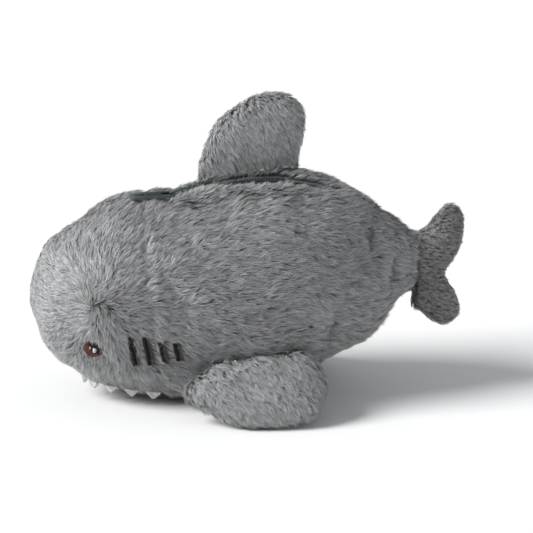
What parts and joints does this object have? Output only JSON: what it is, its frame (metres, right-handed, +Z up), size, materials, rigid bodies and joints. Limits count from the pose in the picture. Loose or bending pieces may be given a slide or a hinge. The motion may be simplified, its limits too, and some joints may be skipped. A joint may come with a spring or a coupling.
{
  "type": "plush shark pouch",
  "caption": "Soft plush shark with a zip along its back, stuffed fins and tail, felt teeth and embroidered eyes.",
  "frame": {"origin": "on the floor below the middle of the whole toy", "axes": "+Z up, nose towards -X, tail towards +X, the toy's left side towards -Y"},
  "size_m": [0.216, 0.128, 0.1535],
  "materials": {
    "grey_plush": "long soft pile",
    "pale_plush": "short soft pile",
    "wadding": "loose polyester fibre",
    "lining": "thin woven polyester",
    "zip_tape": "woven tape",
    "zip_coil": "nylon coil",
    "slider_metal": "dark green-grey lacquer",
    "felt": "smooth felt",
    "thread_black": "satin stitch",
    "thread_brown": "satin stitch",
    "thread_white": "satin stitch"
  },
  "bodies": {
    "shark_body": {"belly_panel": "pale_plush", "eye_highlight_left": "thread_white", "eye_highlight_right": "thread_white", "eye_iris_left": "thread_brown", "eye_iris_right": "thread_brown", "eye_pupil_left": "thread_black", "eye_pupil_right": "thread_black", "gill_stitches_left": "thread_black", "gill_stitches_right": "thread_black", "head_panel_left": "grey_plush", "head_panel_right": "grey_plush", "lining_pocket": "lining", "side_panel_left": "grey_plush", "side_panel_right": "grey_plush", "teeth_left": "felt", "teeth_right": "felt", "wadding_left": "wadding", "wadding_right": "wadding", "zip_coil_left": "zip_coil", "zip_coil_right": "zip_coil", "zip_stop_front": "zip_coil", "zip_stop_rear": "zip_coil", "zip_tape_left": "zip_tape", "zip_tape_right": "zip_tape"},
    "slider": {"slider_body": "slider_metal", "slider_bridge": "slider_metal"},
    "pull_tab": {"pull_tab": "slider_metal"},
    "dorsal_fin": {"dorsal_fin_left": "grey_plush", "dorsal_fin_right": "grey_plush", "dorsal_fin_stuffing": "wadding"},
    "tail_fin": {"tail_fin_left": "grey_plush", "tail_fin_right": "grey_plush", "tail_fin_stuffing": "wadding"},
    "pectoral_left": {"pectoral_left_lower": "grey_plush", "pectoral_left_stuffing": "wadding", "pectoral_left_upper": "grey_plush"},
    "pectoral_right": {"pectoral_right_lower": "grey_plush", "pectoral_right_stuffing": "wadding", "pectoral_right_upper": "grey_plush"}
  },
  "joints": [
    {"name": "zip_slider", "type": "hinge", "parent": "shark_body", "child": "slider", "pos_m": [0.008, 0.01517, 0.003], "axis": [0, 0.9781, 0.2079], "range_deg": [0, 36.5]},
    {"name": "pull_tab_swing", "type": "hinge", "parent": "slider", "child": "pull_tab", "pos_m": [-0.03652, -0.00647, 0.10482], "axis": [0, 0.9781, 0.2079], "range_deg": [0, 110]},
    {"name": "dorsal_fin_flop", "type": "hinge", "parent": "shark_body", "child": "dorsal_fin", "pos_m": [0.001, 0.0075, 0.11], "axis": [0.9881, 0, 0.1536], "range_deg": [-10, 5], "stiffness_Nm_per_rad": 0.3},
    {"name": "pectoral_left_lift", "type": "hinge", "parent": "shark_body", "child": "pectoral_left", "pos_m": [0.002, -0.04, 0.0345], "axis": [-1, 0, 0], "range_deg": [-4, 30], "stiffness_Nm_per_rad": 0.3},
    {"name": "pectoral_right_lift", "type": "hinge", "parent": "shark_body", "child": "pectoral_right", "pos_m": [0.002, 0.04, 0.0345], "axis": [1, 0, 0], "range_deg": [-4, 30], "stiffness_Nm_per_rad": 0.3},
    {"name": "tail_sway", "type": "hinge", "parent": "shark_body", "child": "tail_fin", "pos_m": [0.084, 0, 0.067], "axis": [0, 0, 1], "range_deg": [-14, 14], "stiffness_Nm_per_rad": 0.3}
  ]
}
